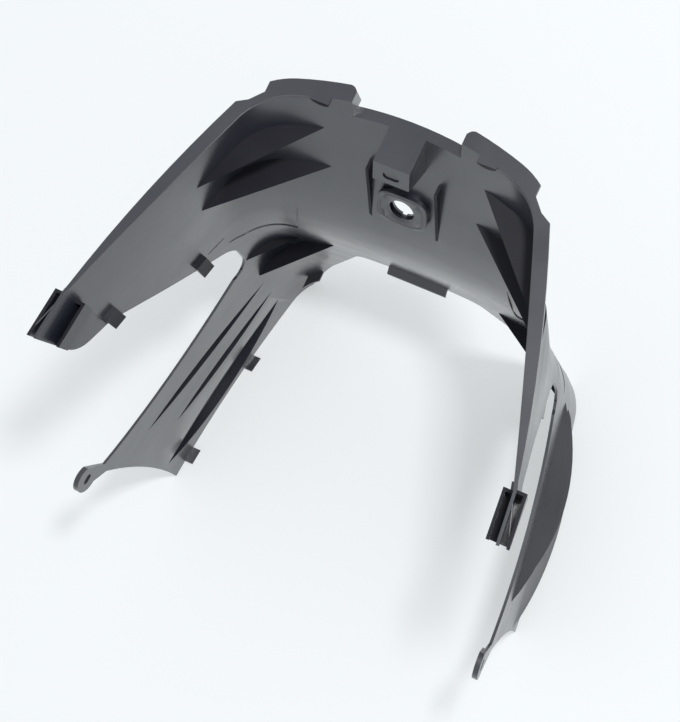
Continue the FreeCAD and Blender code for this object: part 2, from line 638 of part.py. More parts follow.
def oblong(length, width, depth, frame):
    """Bar with round ends, along x, centred, reaching both ways along the frame's z."""
    half_run = 0.5 * (length - width)
    bar = Part.makeBox(2.0 * half_run, width, 2.0 * depth, V(-half_run, -0.5 * width, -depth))
    ends = [Part.makeCylinder(0.5 * width, 2.0 * depth, V(x, 0, -depth)) for x in (-half_run, half_run)]
    bar = bar.fuse(ends).removeSplitter()
    bar.Placement = frame
    return bar


upright = FreeCAD.Rotation(ACROSS, 90.0 - LEAN)
slot_hole = show("BracketSlot", oblong(size("slot_hole_length"), size("slot_hole_width"), 4.0 * WALL,
                                       FreeCAD.Placement(slot_mid, upright)))

# Boss and keyed lock hole on the leaning wall: frame z points inwards from the wall's face.
lock_z = RIM - size("lock_depth")
lock_at = FreeCAD.Placement(V(0, front_y(0, lock_z), lock_z), upright)
boss_in = oblong(size("boss_length") - 2.0 * size("boss_wall"), size("boss_width") - 2.0 * size("boss_wall"),
                 3.0 * size("boss_reach"), lock_at)
boss_out = oblong(size("boss_length"), size("boss_width"), size("boss_reach"), lock_at)
boss_keep = Part.makeBox(FAR, FAR, FAR, V(-0.5 * FAR, -0.5 * FAR, -0.5 * WALL))
boss_keep.Placement = lock_at.multiply(boss_keep.Placement)
boss = show("LockBoss", boss_out.cut(boss_in).common(boss_keep))
bore = doc.addObject("Part::Cylinder", "LockBore")
bore.setExpression("Radius", "Sizes.lock_bore / 2")
bore.setExpression("Height", "8 * Sizes.wall")
bore.Placement = lock_at.multiply(FreeCAD.Placement(V(0, 0, -4.0 * WALL), FreeCAD.Rotation()))
key = doc.addObject("Part::Box", "LockKey")
key.setExpression("Length", "Sizes.lock_key")
key.setExpression("Width", "Sizes.lock_key / 2 + Sizes.lock_bore / 2")
key.setExpression("Height", "8 * Sizes.wall")
key_corner = V(-0.5 * size("lock_key"), -0.5 * (size("lock_bore") + size("lock_key")), -4.0 * WALL)
key.Placement = lock_at.multiply(FreeCAD.Placement(key_corner, FreeCAD.Rotation()))

# Tab under the front wall, at the top of the arch.
sill_y = front_y(0, size("arch_height")) - size("sill_reach")
sill = doc.addObject("Part::Box", "Sill")
sill.setExpression("Length", "2 * Sizes.sill_half")
sill.setExpression("Width", "Sizes.sill_reach + Sizes.wall / 2")
sill.setExpression("Height", "Sizes.wall")
sill.Placement = FreeCAD.Placement(V(-size("sill_half"), sill_y, size("arch_height")), FreeCAD.Rotation())

joined = doc.addObject("Part::MultiFuse", "Moulding")
joined.Shapes = [right_half, left_half, top, tab, web_right, web_left, boss, sill]
openings = doc.addObject("Part::MultiFuse", "Openings")
openings.Shapes = [bore, key, slot_hole]
shield = doc.addObject("Part::Cut", "LegShield")
shield.Base = joined
shield.Tool = openings
shield.Label = "leg_shield"
doc.recompute()

for item in doc.Objects:
    if "Invalid" in item.State or "Error" in item.State:
        raise RuntimeError("%s did not build" % item.Name)
solid = shield.Shape
if solid.isNull() or not solid.isValid() or len(solid.Solids) != 1:
    raise RuntimeError("the shield is not one sound solid: %d" % len(solid.Solids))
os.makedirs("parts", exist_ok=True)
solid.exportStep("parts/leg_shield.step")
box = solid.BoundBox
print("leg_shield", round(solid.Volume), [round(n, 1) for n in (box.XLength, box.YLength, box.ZLength)])
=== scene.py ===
# %% [markdown]
# # A moulded leg shield
# A leg shield is the plastic shell that wraps a motorbike's steering column and keeps spray off the rider.
# This one is a single black moulding: a front wall, two corners, and two sides that each end in an upper
# and a lower arm. The CAD model already holds its form, so this lesson doesn't model it again. It loads
# that form, refines it where the photograph shows more, and gives it finish and light.
#
# The first cell loads the imported part and moves each mesh's placement into its points.

# %% Load the imported part
import math

import bmesh
import bpy
import numpy as np
from mathutils import Matrix, Vector


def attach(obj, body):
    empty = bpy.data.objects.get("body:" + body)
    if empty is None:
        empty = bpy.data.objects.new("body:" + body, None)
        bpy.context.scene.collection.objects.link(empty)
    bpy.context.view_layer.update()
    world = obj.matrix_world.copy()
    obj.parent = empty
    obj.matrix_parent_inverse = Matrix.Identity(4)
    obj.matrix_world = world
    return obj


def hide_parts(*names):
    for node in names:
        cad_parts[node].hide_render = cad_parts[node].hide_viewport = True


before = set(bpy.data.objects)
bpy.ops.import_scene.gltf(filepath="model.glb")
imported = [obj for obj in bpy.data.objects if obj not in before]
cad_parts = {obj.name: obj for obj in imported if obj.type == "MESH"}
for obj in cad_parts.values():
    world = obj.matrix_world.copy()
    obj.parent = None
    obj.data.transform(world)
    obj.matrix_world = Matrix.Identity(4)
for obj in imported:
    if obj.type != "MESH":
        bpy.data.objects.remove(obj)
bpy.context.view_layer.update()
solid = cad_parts["leg_shield"]

# %% [markdown]
# ## Camera
# The photograph looks steeply down on the shield from behind its right arm. A camera can be aimed by eye,
# by a Track To constraint or by its own three directions. The directions are used here, because the match
# with the photograph also fixes how far the camera is rolled. Right and back are given, and two cross
# products make the three exactly square. The lens follows from the focal length in pixels along the
# picture's longer side.

# %% Camera at the photograph's angle
PHOTO_WIDTH, PHOTO_HEIGHT = 680, 722
FOCAL_PIXELS = 1800.0
SENSOR = 36.0
camera_place = Vector((0.3999, -0.1862, 1.6271))
camera_right = Vector((0.8828, 0.4244, -0.2015)).normalized()
camera_back = Vector((0.2795, -0.1297, 0.9514)).normalized()
camera_up = camera_back.cross(camera_right).normalized()
camera_right = camera_up.cross(camera_back)


def put(name, data):
    """A new object at the origin that shows a mesh, a lamp or a camera."""
    made = bpy.data.objects.new(name, data)
    bpy.context.scene.collection.objects.link(made)
    return made


camera_data = bpy.data.cameras.new("camera")
camera_data.sensor_width = SENSOR
camera_data.lens = SENSOR * FOCAL_PIXELS / max(PHOTO_WIDTH, PHOTO_HEIGHT)
camera = put("camera", camera_data)
camera_turn = Matrix((camera_right, camera_up, camera_back)).transposed()
camera.matrix_world = Matrix.Translation(camera_place) @ camera_turn.to_4x4()
bpy.context.scene.camera = camera
print("lens in mm:", round(camera_data.lens, 2))

# %% [markdown]
# ## Nodes in few words
# Every surface below is a node tree. Trees can be drawn by hand in the Shader Editor, but a script shows each
# number and gives the same result each time. Three helpers keep it short: one makes a material, one adds a
# node, and one adds a sum or product of two values.


# %% Helpers for materials
def new_material(name):
    """A new material, its node tree and its Principled shader."""
    material = bpy.data.materials.new(name)
    material.use_nodes = True
    return material, material.node_tree, material.node_tree.nodes["Principled BSDF"]


def node(tree, kind, **values):
    """Adds one node and sets its named properties."""
    made = tree.nodes.new(kind)
    for key, value in values.items():
        setattr(made, key, value)
    return made


def math_node(tree, operation, first, second):
    """One sum, product or other operation on two values; either may be a number."""
    made = node(tree, "ShaderNodeMath", operation=operation)
    for socket, value in zip(made.inputs, (first, second)):
        if isinstance(value, (int, float)):
            socket.default_value = value
        else:
            tree.links.new(value, socket)
    return made.outputs[0]


# %% [markdown]
# ## Paper floor
# The shield stands on white paper that runs out of the picture. Stronger lamps could make the paper white,
# but they would wash out the black plastic too. So the paper is pale and dull, and takes a share of plain
# glow that only the camera and glossy reflections see. The background and its mirror image get brighter,
# and the light on the shield stays as it is.

# %% Floor
FLOOR_REACH = 6.0
FLOOR_GLOW = 0.42
PAPER_COLOUR, PAPER_ROUGHNESS = (0.88, 0.915, 0.93, 1), 0.9
GLOW_COLOUR, GLOW_STRENGTH = (0.985, 1.0, 1.0, 1), 1.0

floor_mesh = bpy.data.meshes.new("floor")
corners = np.array([(-1, -1, 0), (1, -1, 0), (1, 1, 0), (-1, 1, 0)]) * FLOOR_REACH
floor_mesh.from_pydata(corners.tolist(), [], [(0, 1, 2, 3)])
floor = put("floor", floor_mesh)

paper, paper_tree, paper_shader = new_material("pale_paper")
paper_shader.inputs["Base Color"].default_value = PAPER_COLOUR
paper_shader.inputs["Roughness"].default_value = PAPER_ROUGHNESS
glow = node(paper_tree, "ShaderNodeEmission")
glow.inputs["Color"].default_value = GLOW_COLOUR
glow.inputs["Strength"].default_value = GLOW_STRENGTH
ray = node(paper_tree, "ShaderNodeLightPath").outputs
seen = math_node(paper_tree, "MAXIMUM", ray["Is Camera Ray"], ray["Is Glossy Ray"])
blend = node(paper_tree, "ShaderNodeMixShader")
for start, end in ((math_node(paper_tree, "MULTIPLY", seen, FLOOR_GLOW), blend.inputs["Fac"]),
                   (paper_shader.outputs["BSDF"], blend.inputs[1]),
                   (glow.outputs["Emission"], blend.inputs[2]),
                   (blend.outputs["Shader"], paper_tree.nodes["Material Output"].inputs["Surface"])):
    paper_tree.links.new(start, end)
floor_mesh.materials.append(paper)
print("floor is", 2 * FLOOR_REACH, "m wide and glows by a share of", FLOOR_GLOW)

# %% [markdown]
# ## Sky and lamp
# Black plastic shows mostly what it reflects. A pale, even sky gives the walls their grey sheen, and one lamp
# high over the right front corner draws the long shadow inside the arms. A sun lamp would make that shadow's
# edge too hard, and a much wider lamp would blur it away, so it is a small square area light.

# %% Light
SKY_COLOUR, SKY_STRENGTH = (0.93, 0.965, 1.0, 1), 0.70
LAMP_PLACE, LAMP_TARGET = Vector((0.72, 0.38, 2.46)), Vector((0, 0, 0.1))
LAMP_WIDTH, LAMP_POWER = 0.28, 28.0

bpy.context.scene.view_settings.view_transform = "Standard"
world = bpy.data.worlds.new("sky")
world.use_nodes = True
sky = world.node_tree.nodes["Background"]
sky.inputs["Color"].default_value = SKY_COLOUR
sky.inputs["Strength"].default_value = SKY_STRENGTH
bpy.context.scene.world = world

lamp_data = bpy.data.lights.new("soft_box", "AREA")
lamp_data.shape = "SQUARE"
lamp_data.size = LAMP_WIDTH
lamp_data.energy = LAMP_POWER
lamp = put("soft_box", lamp_data)
lamp.location = LAMP_PLACE
lamp.rotation_euler = (LAMP_TARGET - LAMP_PLACE).to_track_quat("-Z", "Y").to_euler()
print("lamp is", round((LAMP_TARGET - LAMP_PLACE).length, 2), "m from the shield")

# %% [markdown]
# ## The wall as a formula
# At each height the inner face of the wall is three arcs: a wide one at the front, a tight one at the
# corner and a wide one along the arm. Their sizes change with height and bend at a soft knee. The CAD model
# lofts this face. Here it is needed as a ruler: the distance from it tells flutes, shelves and clips from
# plain wall, and thin pieces can be laid on it. Rays cast at the mesh could find the face too, but they
# would also hit those details, which the formula leaves out.

# %% Sizes of the wall
KNEE, RIM, SOFT = 232.0, 377.0, 40.0
WALL = 2.5
WAIST_X, WAIST_Y = 148, 63
# Each of these is given at the floor, the knee and the rim, in mm and the splay in degrees.
FRONT_PLACE = (114, 104, 173)
FRONT_RADIUS = (2000, 600, 290)
CORNER_RADIUS = (50, 50, 54)
SIDE_RADIUS = (1500, 1500, 4000)
SIDE_SPLAY = (12.1, 14.7, 20.3)


def level(height, floor_value, knee_value, rim_value):
    """A size that runs straight from floor to knee and from knee to rim, with a parabola at the knee."""
    past = height - KNEE
    low = (knee_value - floor_value) / KNEE
    high = (rim_value - knee_value) / (RIM - KNEE)
    soft = knee_value + low * past + (high - low) * (past + SOFT) ** 2 / (4 * SOFT)
    straight = knee_value + np.where(past < 0, low, high) * past
    return np.where(np.abs(past) < SOFT, soft, straight)


print("front wall half way up:", round(float(level(RIM / 2, *FRONT_PLACE)), 1), "mm ahead of the middle")


# %% Level section of the wall
def crossing(first_y, first_r, second_x, second_y, second_r):
    """The crossing with the larger y of two circles; the first one's centre has x = 0."""
    gap_x, gap_y = second_x, second_y - first_y
    gap = np.hypot(gap_x, gap_y)
    share = (first_r ** 2 - second_r ** 2 + gap ** 2) / (2 * gap)
    rise = np.sqrt(first_r ** 2 - share ** 2)
    one_x, one_y = (share * gap_x - rise * gap_y) / gap, (share * gap_y + rise * gap_x) / gap
    other_x, other_y = (share * gap_x + rise * gap_y) / gap, (share * gap_y - rise * gap_x) / gap
    upper = one_y > other_y
    return np.where(upper, one_x, other_x), first_y + np.where(upper, one_y, other_y)


def plan_offset(across, along, height):
    """Distance in mm outwards from the inner face in its level section.

    The corner's arc touches the two others from inside, so its centre lies where two smaller circles cross.
    Lines from that centre to the other two centres part the section, and each part measures from its own arc.
    """
    across = np.abs(across)
    front_r, side_r = level(height, *FRONT_RADIUS), level(height, *SIDE_RADIUS)
    corner_r = level(height, *CORNER_RADIUS)
    splay = np.radians(level(height, *SIDE_SPLAY))
    front_y = level(height, *FRONT_PLACE) - front_r
    side_x, side_y = WAIST_X - side_r * np.cos(splay), WAIST_Y - side_r * np.sin(splay)
    corner_x, corner_y = crossing(front_y, front_r - corner_r, side_x, side_y, side_r - corner_r)
    reach_x, reach_y = across - corner_x, along - corner_y
    past_front = corner_x * reach_y - (corner_y - front_y) * reach_x < 0
    before_side = (corner_x - side_x) * reach_y - (corner_y - side_y) * reach_x > 0
    at_corner = np.hypot(reach_x, reach_y) - corner_r
    at_front = np.hypot(across, along - front_y) - front_r
    at_side = np.hypot(across - side_x, along - side_y) - side_r
    return np.where(past_front, np.where(before_side, at_corner, at_side), at_front)


# %% [markdown]
# ## From the section to the leaning wall
# The section measures in its own level, but the wall leans, so a point's distance from it is shorter than
# that. The exact foot point would need a search. The slope of the level distance gives the face's
# direction, and dividing by the slope's length is close enough for the few millimetres that matter here.


# %% Distance from the wall
def wall_offset(points, step=0.5):
    """Distance outwards from the inner face and the face's outward direction, for points in mm.

    The direction is the slope of the level distance over a small step each way, and dividing by the slope's
    length turns that distance into one square to the leaning face.
    """
    x, y, z = points.T
    slope = np.stack([plan_offset(x + step, y, z) - plan_offset(x - step, y, z),
                      plan_offset(x, y + step, z) - plan_offset(x, y - step, z),
                      plan_offset(x, y, z + step) - plan_offset(x, y, z - step)], axis=1)
    length = np.linalg.norm(slope, axis=1)
    return plan_offset(x, y, z) / length, slope / length[:, None]


probe = np.array([(0.0, FRONT_PLACE[0], 0.0), (0.0, FRONT_PLACE[2], RIM)])
print("front wall is off its formula by", np.round(wall_offset(probe)[0], 2), "mm")

# %% [markdown]
# ## The moulded shell
# The shell is the whole object, and its mesh starts as a copy of the solid's. That mesh is triangles with
# stored normals, which is enough to show it, but a Bevel modifier works better on joined faces. So equal
# corners are merged and flat patches become single faces. A Remesh modifier would join them too, but it
# would blur the thin lips. The stored normals are dropped, because they belong to the old faces. Blender's
# mesh is in metres, and from here on places are read as millimetres, as in the CAD model.

# %% Copy of the solid
# Millimetres in a metre.
MM = 1000
MERGE = 0.01 / MM
FLAT = math.radians(0.4)

shell_mesh = solid.data.copy()
shell_mesh.name = "leg_shield_shell"
work = bmesh.new()
work.from_mesh(shell_mesh)
bmesh.ops.remove_doubles(work, verts=work.verts, dist=MERGE)
bmesh.ops.dissolve_limit(work, angle_limit=FLAT, verts=work.verts, edges=work.edges)
work.to_mesh(shell_mesh)
work.free()
shell_mesh.attributes.remove(shell_mesh.attributes["custom_normal"])
print("faces of the solid:", len(solid.data.polygons), "and of the shell:", len(shell_mesh.polygons))

# %% [markdown]
# ## The tab under the front wall
# A short tab stands in from the lower edge of the front wall. It slopes down in the photograph and is level
# in the CAD model. It could be turned in Edit Mode, but a script can find the corners of its free edge by
# their place and move them by one small vector, and the flat faces follow.

# %% Sloped tab
TAB_ACROSS, TAB_ALONG, TAB_TALL = (-29, 29), (90, 103), (155, 161)
TAB_MOVE = (0, 1.5, -4.5)


def read(items, field, width, kind=float):
    """A field of a mesh's corners, edges or faces as an array with one row for each."""
    values = np.empty(len(items) * width, kind)
    items.foreach_get(field, values)
    return values.reshape(-1, width)


def between(values, limits):
    """Where values lie between a low and a high limit."""
    return (values > limits[0]) & (values < limits[1])


spots = read(shell_mesh.vertices, "co", 3) * MM
free_edge = between(spots[:, 0], TAB_ACROSS) & between(spots[:, 1], TAB_ALONG)
free_edge &= between(spots[:, 2], TAB_TALL)
spots[free_edge] += TAB_MOVE
print("lowered", int(free_edge.sum()), "corners of the tab")

# %% [markdown]
# ## Deeper flutes
# Three long flutes stiffen each lower arm: the wall swings out and comes back in a ledge. They are deeper
# in the photograph than in the CAD model. A displacement texture could deepen them, but it would need a
# painted mask. The wall's formula already says how far each corner lies off the wall, so each is pushed
# further out by a multiple of that depth. Both skins move alike, so the wall keeps about its thickness.

# %% Flutes pushed out
FLUTE_DEPTHS, FLUTE_ALONG, FLUTE_TALL = (0.25, 8), (-150, 80), (3, 115)
LOW_FLUTE_TOP, LOW_GAIN, HIGH_GAIN = 45, 2.3, 2.9

offset, outward = wall_offset(spots)
inner_skin = (read(shell_mesh.vertices, "normal", 3) * outward).sum(axis=1) < 0
depth = np.where(inner_skin, offset, offset - WALL)
fluted = between(depth, FLUTE_DEPTHS) & between(spots[:, 1], FLUTE_ALONG) & between(spots[:, 2], FLUTE_TALL)
push = (np.where(spots[:, 2] < LOW_FLUTE_TOP, LOW_GAIN, HIGH_GAIN) - 1) * depth
spots[fluted] += outward[fluted] * push[fluted][:, None]
shell_mesh.vertices.foreach_set("co", (spots / MM).ravel())
shell_mesh.update()
print("flutes moved at", int(fluted.sum()), "points, by up to", round(float(push[fluted].max()), 1), "mm")

# %% [markdown]
# ## Edges to round
# No moulded edge is quite sharp, and the thin bright line along it tells how large a thing is. A Bevel
# modifier limited by angle would round every sharp edge, but where short edges meet it has no room and
# folds over. So each edge gets a bevel weight: one where it is sharp and all its neighbours are long
# enough, otherwise none. The lips of the gills and flutes look crisp in the photograph and stay sharp.

# %% Weights of the edges
SHARP = math.radians(30)
ROOM = 1.8
GILL_ACROSS, GILL_ALONG, GILL_TALL = 50, 40, (100, 352)
LOWER_ARM_FRONT, LOWER_ARM_TOP = 80, 125

shell_mesh.polygons.foreach_set("use_smooth", np.ones(len(shell_mesh.polygons), bool))
shell_mesh.set_sharp_from_angle(angle=SHARP)
ends = read(shell_mesh.edges, "vertices", 2, np.int32)
sharp = read(shell_mesh.edges, "use_edge_sharp", 1, bool)[:, 0]
lengths = np.linalg.norm(spots[ends[:, 0]] - spots[ends[:, 1]], axis=1)
shortest = np.full(len(spots), np.inf)
np.minimum.at(shortest, ends[:, 0], lengths)
np.minimum.at(shortest, ends[:, 1], lengths)
mid_x, mid_y, mid_z = spots[ends].mean(axis=1).T
curled = (np.abs(mid_x) > GILL_ACROSS) & (mid_y > GILL_ALONG) & (mid_z < GILL_TALL[1])
curled |= (mid_y < LOWER_ARM_FRONT) & (mid_z < LOWER_ARM_TOP)
roomy = sharp & ~curled & (shortest[ends].min(axis=1) > ROOM)
weights = shell_mesh.attributes.new("bevel_weight_edge", "FLOAT", "EDGE")
weights.data.foreach_set("value", roomy.astype(np.float32))
print("edges to round:", int(roomy.sum()), "of", int(sharp.sum()), "sharp ones")

# %% [markdown]
# ## The shell in the scene
# The shell rides on the part's only body and stands in for the CAD node. Its rounding stays a live
# modifier, so that its width can still be tried out. Hardened normals keep the flat faces flat beside the
# new round ones.

# %% Shell with rounded edges
EDGE_ROUND = 0.7
EDGE_STEPS = 2

shell = put("leg_shield_shell", shell_mesh)
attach(shell, "root")
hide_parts("leg_shield")
rounding = shell.modifiers.new("edge_round", "BEVEL")
rounding.width = EDGE_ROUND / MM
rounding.segments = EDGE_STEPS
rounding.limit_method = "WEIGHT"
rounding.use_clamp_overlap = True
rounding.harden_normals = True
print("edges are rounded by", EDGE_ROUND, "mm in", EDGE_STEPS, "steps")

# %% [markdown]
# ## Black moulded plastic
# The real skin is satin: a dark body under a thin gloss, with a fine grain, faint streaks where the melt
# flowed, slow waves, and duller and shinier patches. A photographed texture could show all that, but it
# needs UV maps and fits one object only. Noise at four sizes on the object's own coordinates needs no maps,
# and it has no seams. Each noise drives what it changes on the real part: tint and roughness, or the height
# of the relief.


# %% Helpers for patterns
def noise(tree, source, scale, detail):
    """Noise over a place vector; its Fac goes from 0 to 1."""
    made = node(tree, "ShaderNodeTexNoise")
    made.inputs["Scale"].default_value = scale
    made.inputs["Detail"].default_value = detail
    tree.links.new(source, made.inputs["Vector"])
    return made.outputs["Fac"]


def weighted_sum(tree, *parts):
    """The sum of values, each times its own weight."""
    total = None
    for value, weight in parts:
        scaled = math_node(tree, "MULTIPLY", value, weight)
        total = scaled if total is None else math_node(tree, "ADD", total, scaled)
    return total


def spread(tree, value, low, high, to_low, to_high):
    """Maps a value from one range to another and holds it there."""
    made = node(tree, "ShaderNodeMapRange", clamp=True)
    for name, number in (("From Min", low), ("From Max", high), ("To Min", to_low), ("To Max", to_high)):
        made.inputs[name].default_value = number
    tree.links.new(value, made.inputs["Value"])
    return made.outputs["Result"]


def mix_colour(tree, share, first, second):
    """Blends two fixed colours by a share from 0 to 1."""
    made = node(tree, "ShaderNodeMix", data_type="RGBA")
    made.inputs["A"].default_value = (*first, 1)
    made.inputs["B"].default_value = (*second, 1)
    tree.links.new(share, made.inputs["Factor"])
    return made.outputs["Result"]


# %% [markdown]
# ## Inside and outside
# A surface that faces out of the shield is made slightly smoother than one that faces in, as if that half
# of the mould had been polished a little. The photograph shows little of the outside, so this is a guess
# and is kept small. It could be one more material, but edges and ledges face both ways. So the recipe looks
# at which way a surface faces: away from the upright axis through the shield's middle, or towards it.

# %% Smoother outer side
POLISH = 0.04
LOOKS_IN, LOOKS_OUT = 0.1, 0.5


def outer_polish(tree, place):
    """How much smoother a surface is that faces away from the upright axis through the middle."""
    flat_place = node(tree, "ShaderNodeVectorMath", operation="MULTIPLY")
    flat_place.inputs[1].default_value = (1.0, 1.0, 0.0)
    tree.links.new(place, flat_place.inputs[0])
    away = node(tree, "ShaderNodeVectorMath", operation="NORMALIZE")
    tree.links.new(flat_place.outputs["Vector"], away.inputs[0])
    looks = node(tree, "ShaderNodeVectorMath", operation="DOT_PRODUCT")
    tree.links.new(away.outputs["Vector"], looks.inputs[0])
    tree.links.new(node(tree, "ShaderNodeNewGeometry").outputs["Normal"], looks.inputs[1])
    return spread(tree, looks.outputs["Value"], LOOKS_IN, LOOKS_OUT, 0.0, POLISH)


# %% [markdown]
# ## Four finishes of one plastic
# The whole shield is one material, so its finishes share one recipe and differ in a few numbers: two body
# colours, roughness, gloss coat and index of refraction. The wall is satin. Recesses, ribs, pads and clips
# are matt with no coat, and their darker body colours are painted shade. Edges get pale body colours, a
# painted highlight, and the outside is satin with half the wall's coat.

# %% Satin plastic
# Scale and detail of each noise.
PATCHES, STREAKS, GRAIN, WAVES = (13.0, 3.0), (70.0, 4.0), (1300.0, 2.0), (42.0, 2.0)
STREAK_STRETCH, STREAK_TILT = (0.16, 0.16, 1.0), math.radians(24)
PATCH_TINT, STREAK_TINT = 0.65, 0.35
GRAIN_RELIEF, STREAK_RELIEF, WAVE_RELIEF = 1.3, 1.2, 7.0
TINT_LOW, TINT_HIGH, ROUGH_SWING = 0.35, 0.65, 0.10
RELIEF_STRENGTH, RELIEF_HEIGHT = 0.25, 0.1 / MM
COAT_ROUGHNESS = 0.24


def moulded_plastic(name, dark, pale, rough, coat, refraction):
    """Plastic between two colours: patches and streaks tint and dull it, grain and waves give relief."""
    material, tree, shader = new_material(name)
    place = node(tree, "ShaderNodeTexCoord").outputs["Object"]
    streaked = node(tree, "ShaderNodeMapping")
    streaked.inputs["Scale"].default_value = STREAK_STRETCH
    streaked.inputs["Rotation"].default_value = (0.0, STREAK_TILT, 0.0)
    tree.links.new(place, streaked.inputs["Vector"])
    patches = noise(tree, place, *PATCHES)
    streaks = noise(tree, streaked.outputs["Vector"], *STREAKS)
    grain = noise(tree, place, *GRAIN)
    waves = noise(tree, place, *WAVES)

    tint = weighted_sum(tree, (patches, PATCH_TINT), (streaks, STREAK_TINT))
    colour = mix_colour(tree, spread(tree, tint, TINT_LOW, TINT_HIGH, 0.0, 1.0), dark, pale)
    dull = spread(tree, tint, TINT_LOW, TINT_HIGH, rough - ROUGH_SWING, rough + ROUGH_SWING)
    relief = node(tree, "ShaderNodeBump")
    relief.inputs["Strength"].default_value = RELIEF_STRENGTH
    relief.inputs["Distance"].default_value = RELIEF_HEIGHT
    height = weighted_sum(tree, (grain, GRAIN_RELIEF), (streaks, STREAK_RELIEF), (waves, WAVE_RELIEF))
    tree.links.new(height, relief.inputs["Height"])

    tree.links.new(colour, shader.inputs["Base Color"])
    tree.links.new(math_node(tree, "SUBTRACT", dull, outer_polish(tree, place)), shader.inputs["Roughness"])
    tree.links.new(relief.outputs["Normal"], shader.inputs["Normal"])
    shader.inputs["IOR"].default_value = refraction
    shader.inputs["Coat Weight"].default_value = coat
    shader.inputs["Coat Roughness"].default_value = COAT_ROUGHNESS
    print("made", name, "with", len(tree.nodes), "nodes")
    return material


wall_plastic = moulded_plastic("satin_wall", (0.013, 0.015, 0.024), (0.023, 0.025, 0.036), 0.36, 1.0, 1.6)
# Matt and without coat. Its darker colours are painted shade in the recesses and on ribs, pads and clips.
matt_shaded_plastic = moulded_plastic("matt_recess_painted_shade", (0.009, 0.009, 0.014), (0.017, 0.017, 0.024), 0.55, 0.0, 1.34)
# Pale colours for edges and beads: a painted highlight.
edge_highlight_plastic = moulded_plastic("painted_highlight_edge", (0.045, 0.046, 0.054), (0.080, 0.082, 0.092), 0.34, 0.6, 1.6)
outer_plastic = moulded_plastic("satin_outer", (0.022, 0.022, 0.028), (0.034, 0.035, 0.042), 0.38, 0.5, 1.5)

# %% [markdown]
# ## Measuring the faces
# Finishes could be given by selecting faces by hand, but the selection is lost when the CAD model changes.
# Here each face is measured instead: where it lies, how far it is off the wall, and whether it looks
# inwards (facing near -1), outwards (near 1) or along the wall (near 0).

# %% Place and direction of each face
centres = read(shell_mesh.polygons, "center", 3) * MM
normals = read(shell_mesh.polygons, "normal", 3)
offset, outward = wall_offset(centres)
facing = (normals * outward).sum(axis=1)
side, along, tall = np.abs(centres[:, 0]), centres[:, 1], centres[:, 2]
ahead, up = normals[:, 1], normals[:, 2]
print("faces looking inwards:", int((facing < 0).sum()), "and outwards:", int((facing > 0).sum()))

# %% [markdown]
# ## Which face gets which finish
# The gills' shelves and outer slopes, the flutes, the channels of the sleeves at the arms' ends, the ribs,
# pads and clips are matt, and their darker colour is painted shade. Each is found by a band of places and
# by lying off the wall or turning away from it. A vertex group or a painted mask could mark them as well, but
# neither would explain itself.

# %% Recesses and raised details
OFF_WALL, STANDS_IN, CLEAR_OF_WALL = 0.6, -0.7, -1.5
# Limits for the way a face looks: first for facing, then for up and, at the arm's end, for ahead.
PLAIN_WALL, NEARLY_WALL, LOOKS_INSIDE, HALF_TURNED = -0.997, -0.95, -0.3, 0.5
SHELF_UP, SLOPE_UP, PAD_UP, ARM_END = 0.8, 0.3, 0.5, -0.9
SHELF_ACROSS, SHELF_ALONG = 70, 55
FLUTE_FRONT = 60
SLEEVE_FRONT, SLEEVE_TALL = -40, (346, 375.5)
RIB_ACROSS, RIB_TALL = (26, 36), (240, 330)
PAD_ACROSS, PAD_FOOT = (58, 82), 355
CLIP_ALONG, CLIP_TALL = (-60, 48), (210, 305)

at_gill = (side > GILL_ACROSS) & (along > GILL_ALONG) & between(tall, GILL_TALL)
off_plain = (np.abs(offset) > OFF_WALL) | (facing > PLAIN_WALL)
in_channel = (offset < -OFF_WALL) & (facing > -HALF_TURNED)
in_channel |= (offset > WALL + OFF_WALL) & (facing < HALF_TURNED)
on_clip = (offset < -OFF_WALL) & (facing > NEARLY_WALL) | (offset < CLEAR_OF_WALL)
matt = {
    "shelf": at_gill & (up > SHELF_UP) & (side > SHELF_ACROSS) & (along > SHELF_ALONG),
    "gill slope": at_gill & (up > SLOPE_UP) & (facing > 0),
    "flute": off_plain & (facing < LOOKS_INSIDE) & (along < FLUTE_FRONT) & (tall < LOWER_ARM_TOP),
    "sleeve": in_channel & (along < SLEEVE_FRONT) & between(tall, SLEEVE_TALL) & (ahead > ARM_END),
    "rib": (offset < STANDS_IN) & between(side, RIB_ACROSS) & between(tall, RIB_TALL),
    "pad": (offset < STANDS_IN) & between(side, PAD_ACROSS) & (tall > PAD_FOOT) & (up < PAD_UP),
    "clip": on_clip & between(along, CLIP_ALONG) & between(tall, CLIP_TALL),
}
for name, pick in matt.items():
    print(name, "faces:", int(pick.sum()))

# %% [markdown]
# ## Finishes on the faces
# Each face holds the number of its material slot. What isn't matt is wall or outside, by the way it looks.
# The faces that the rounding adds get the pale edge finish, a painted highlight along each rounded edge.

# %% Material slots
WALL_SLOT, MATT_SHADE_SLOT, EDGE_HIGHLIGHT_SLOT, OUTER_SLOT = 0, 1, 2, 3
LOOKS_OUTSIDE = 0.3

shell_mesh.materials.clear()
for finish in (wall_plastic, matt_shaded_plastic, edge_highlight_plastic, outer_plastic):
    shell_mesh.materials.append(finish)
slots = np.where(facing > LOOKS_OUTSIDE, OUTER_SLOT, WALL_SLOT)
# The matt faces get the darker colours, which are painted shade.
slots[np.any(list(matt.values()), axis=0)] = MATT_SHADE_SLOT
shell_mesh.polygons.foreach_set("material_index", slots.astype(np.int32))
# The rounded edges get the pale colours of a painted highlight.
rounding.material = EDGE_HIGHLIGHT_SLOT
print("wall, matt, edge and outer faces:", np.bincount(slots, minlength=4).tolist())

# %% [markdown]
# ## Pieces laid over a grid
# The small raised details are skins over a grid of points. They could be curves with a bevel, but each
# curve's tilt would have to be set by hand to follow the leaning wall. Here a formula gives every point
# from two running numbers, one along the piece and one round its profile. The sign of the enclosed volume
# tells which way the faces look, and they are turned round if they look in.

# %% Helpers for grid pieces
CREASE = math.radians(40)


